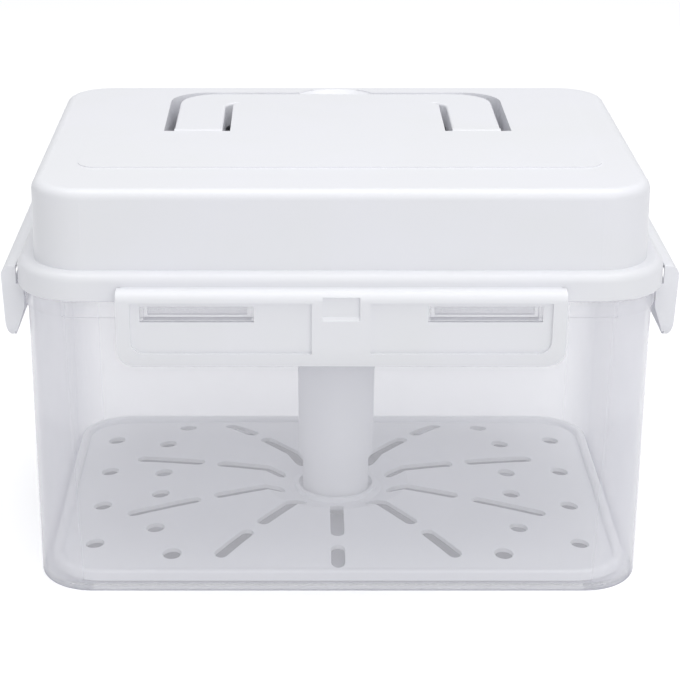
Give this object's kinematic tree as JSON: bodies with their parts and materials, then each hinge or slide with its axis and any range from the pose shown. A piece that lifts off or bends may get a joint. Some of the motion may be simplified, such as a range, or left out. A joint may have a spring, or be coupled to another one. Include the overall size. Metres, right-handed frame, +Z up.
{
  "type": "fermentation container",
  "caption": "Rectangular clear tub with a domed white lid, fold-down handle, locking side flaps and a sprung perforated press plate on a telescopic tube.",
  "frame": {"origin": "centre of the footprint, on the plane that the tub stands on", "axes": "+X along the long side, to the right as seen from the front; +Y to the back; +Z up"},
  "size_m": [0.302, 0.2176, 0.1917],
  "materials": {
    "clear_tub": "translucent polypropylene, smooth gloss",
    "lid_white": "opaque white polypropylene, soft gloss",
    "flap_white": "opaque white polypropylene, soft gloss",
    "press_white": "opaque white polypropylene, satin",
    "gasket": "translucent white silicone",
    "steel": "stainless steel wire"
  },
  "bodies": {
    "container": {"container_body": "clear_tub"},
    "lid": {"lid_shell": "lid_white", "lid_gasket": "gasket", "handle_pin_left": "steel", "handle_pin_right": "steel", "press_housing": "press_white", "housing_cap": "press_white", "press_spring": "steel"},
    "handle": {"carry_handle": "lid_white"},
    "front_latch": {"front_flap": "flap_white"},
    "back_latch": {"back_flap": "flap_white"},
    "left_latch": {"left_flap": "flap_white"},
    "right_latch": {"right_flap": "flap_white"},
    "sleeve": {"press_sleeve": "press_white"},
    "plunger": {"press_plate": "press_white", "inner_tube": "press_white"}
  },
  "joints": [
    {"name": "lid_lift", "type": "slide", "parent": "container", "child": "lid", "axis": [0, 0, 1], "range_m": [0, 0.16]},
    {"name": "handle_fold", "type": "hinge", "parent": "lid", "child": "handle", "pos_m": [0, 0.009, 0.1857], "axis": [1, 0, 0], "range_deg": [0, 90]},
    {"name": "front_flap_open", "type": "hinge", "parent": "lid", "child": "front_latch", "pos_m": [0, -0.10205, 0.1499], "axis": [-1, 0, 0], "range_deg": [0, 100]},
    {"name": "back_flap_open", "type": "hinge", "parent": "lid", "child": "back_latch", "pos_m": [0, 0.10205, 0.1499], "axis": [1, 0, 0], "range_deg": [0, 100]},
    {"name": "left_flap_open", "type": "hinge", "parent": "lid", "child": "left_latch", "pos_m": [-0.14425, 0, 0.1499], "axis": [0, 1, 0], "range_deg": [0, 100]},
    {"name": "right_flap_open", "type": "hinge", "parent": "lid", "child": "right_latch", "pos_m": [0.14425, 0, 0.1499], "axis": [0, -1, 0], "range_deg": [0, 100]},
    {"name": "press_travel", "type": "slide", "parent": "lid", "child": "plunger", "axis": [0, 0, 1], "range_m": [0, 0.08], "stiffness_N_per_m": 60, "springref_m": -0.06, "deforming": ["press_spring"]},
    {"name": "sleeve_travel", "type": "slide", "parent": "lid", "child": "sleeve", "axis": [0, 0, 1], "range_m": [0, 0.063]}
  ],
  "couplings": [
    {"joint": "sleeve_travel", "follows": "press_travel", "ratio": 0.7875}
  ]
}
